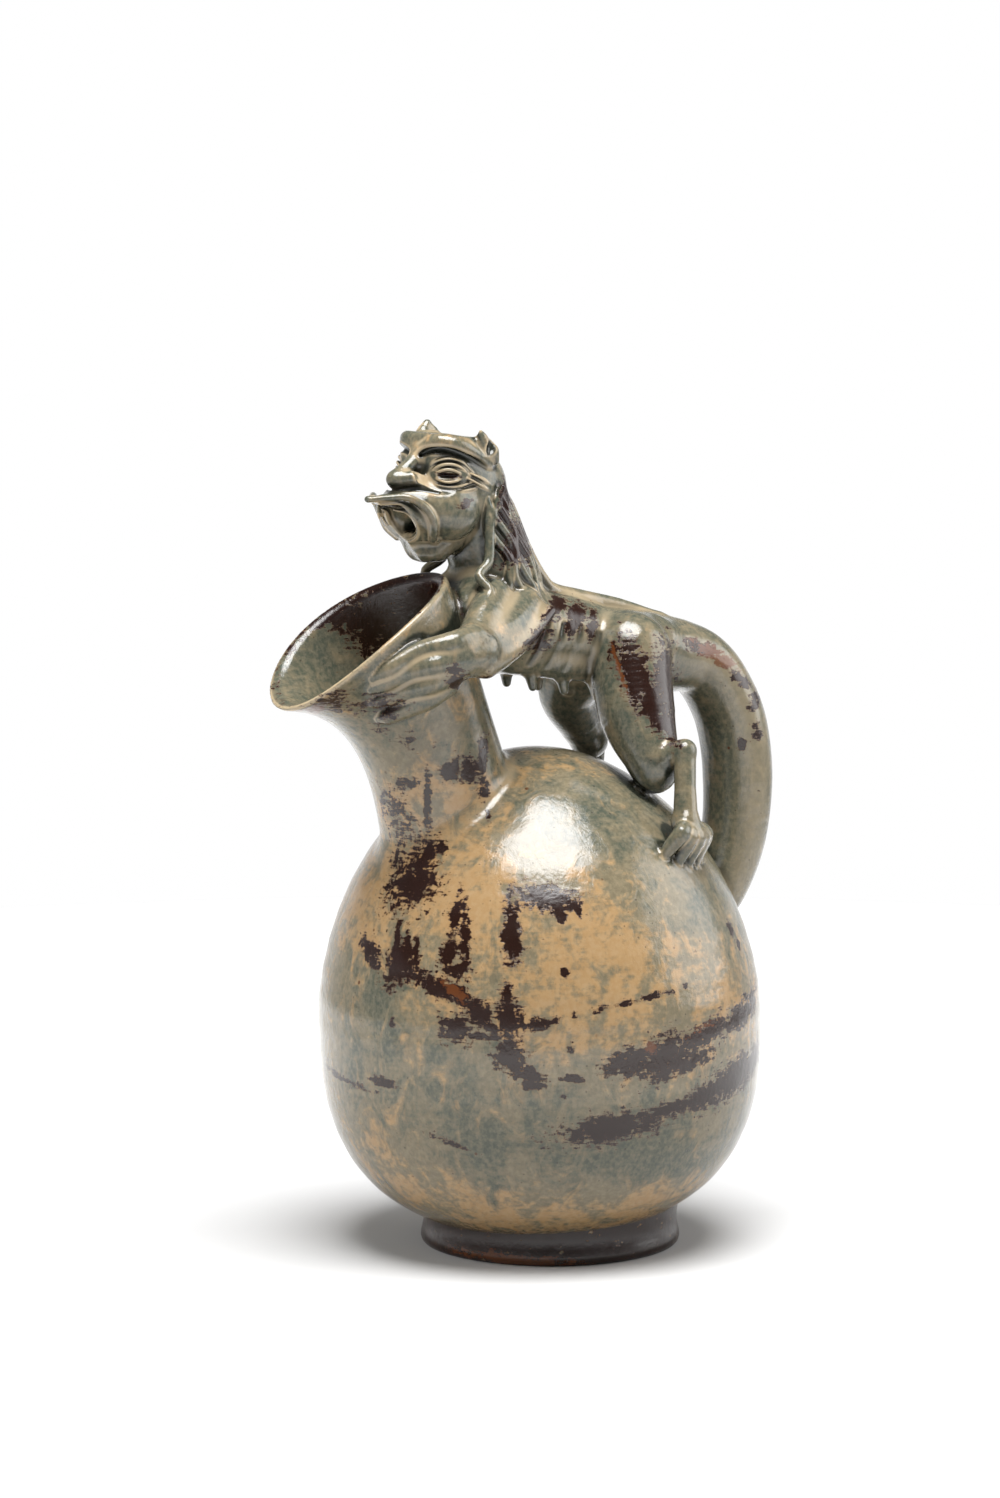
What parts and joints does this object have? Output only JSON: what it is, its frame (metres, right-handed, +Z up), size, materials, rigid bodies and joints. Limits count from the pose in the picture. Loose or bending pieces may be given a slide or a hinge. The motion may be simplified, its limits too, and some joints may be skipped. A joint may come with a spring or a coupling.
{
  "type": "jug",
  "caption": "Stoneware jug with a round belly, a leaning open spout and a modelled beast as its handle, in mottled grey-green and iron-brown glaze.",
  "frame": {"origin": "on the table, under the middle of the jug's overall box", "axes": "+Z up, the mouth points to -X, the tail handle is at +X, the beast's left side is at -Y"},
  "size_m": [0.1784, 0.1416, 0.2633],
  "materials": {
    "celadon_glaze": "glossy mottled grey-green glaze over tan",
    "ochre_glaze": "glossy ochre glaze with iron patches",
    "iron_glaze": "dark iron-brown glaze, bare clay at the edge"
  },
  "bodies": {
    "root": {"arm_left": "celadon_glaze", "arm_right": "celadon_glaze", "belly": "ochre_glaze", "ear_left": "celadon_glaze", "ear_right": "celadon_glaze", "eye_left": "iron_glaze", "eye_right": "iron_glaze", "foot_left": "celadon_glaze", "foot_right": "celadon_glaze", "foot_ring": "iron_glaze", "hand_left": "celadon_glaze", "hand_right": "celadon_glaze", "head": "celadon_glaze", "lock_left_back": "iron_glaze", "lock_left_front": "iron_glaze", "lock_right_back": "iron_glaze", "lock_right_front": "iron_glaze", "lower_jaw": "celadon_glaze", "mane": "iron_glaze", "neck": "celadon_glaze", "shin_left": "celadon_glaze", "shin_right": "celadon_glaze", "tail_handle": "celadon_glaze", "teat_left_1": "celadon_glaze", "teat_left_2": "celadon_glaze", "teat_left_3": "celadon_glaze", "teat_right_1": "celadon_glaze", "teat_right_2": "celadon_glaze", "teat_right_3": "celadon_glaze", "thigh_left": "iron_glaze", "thigh_right": "iron_glaze", "throat": "celadon_glaze", "tongue": "celadon_glaze", "torso": "celadon_glaze", "upper_lip": "celadon_glaze"}
  },
  "joints": []
}
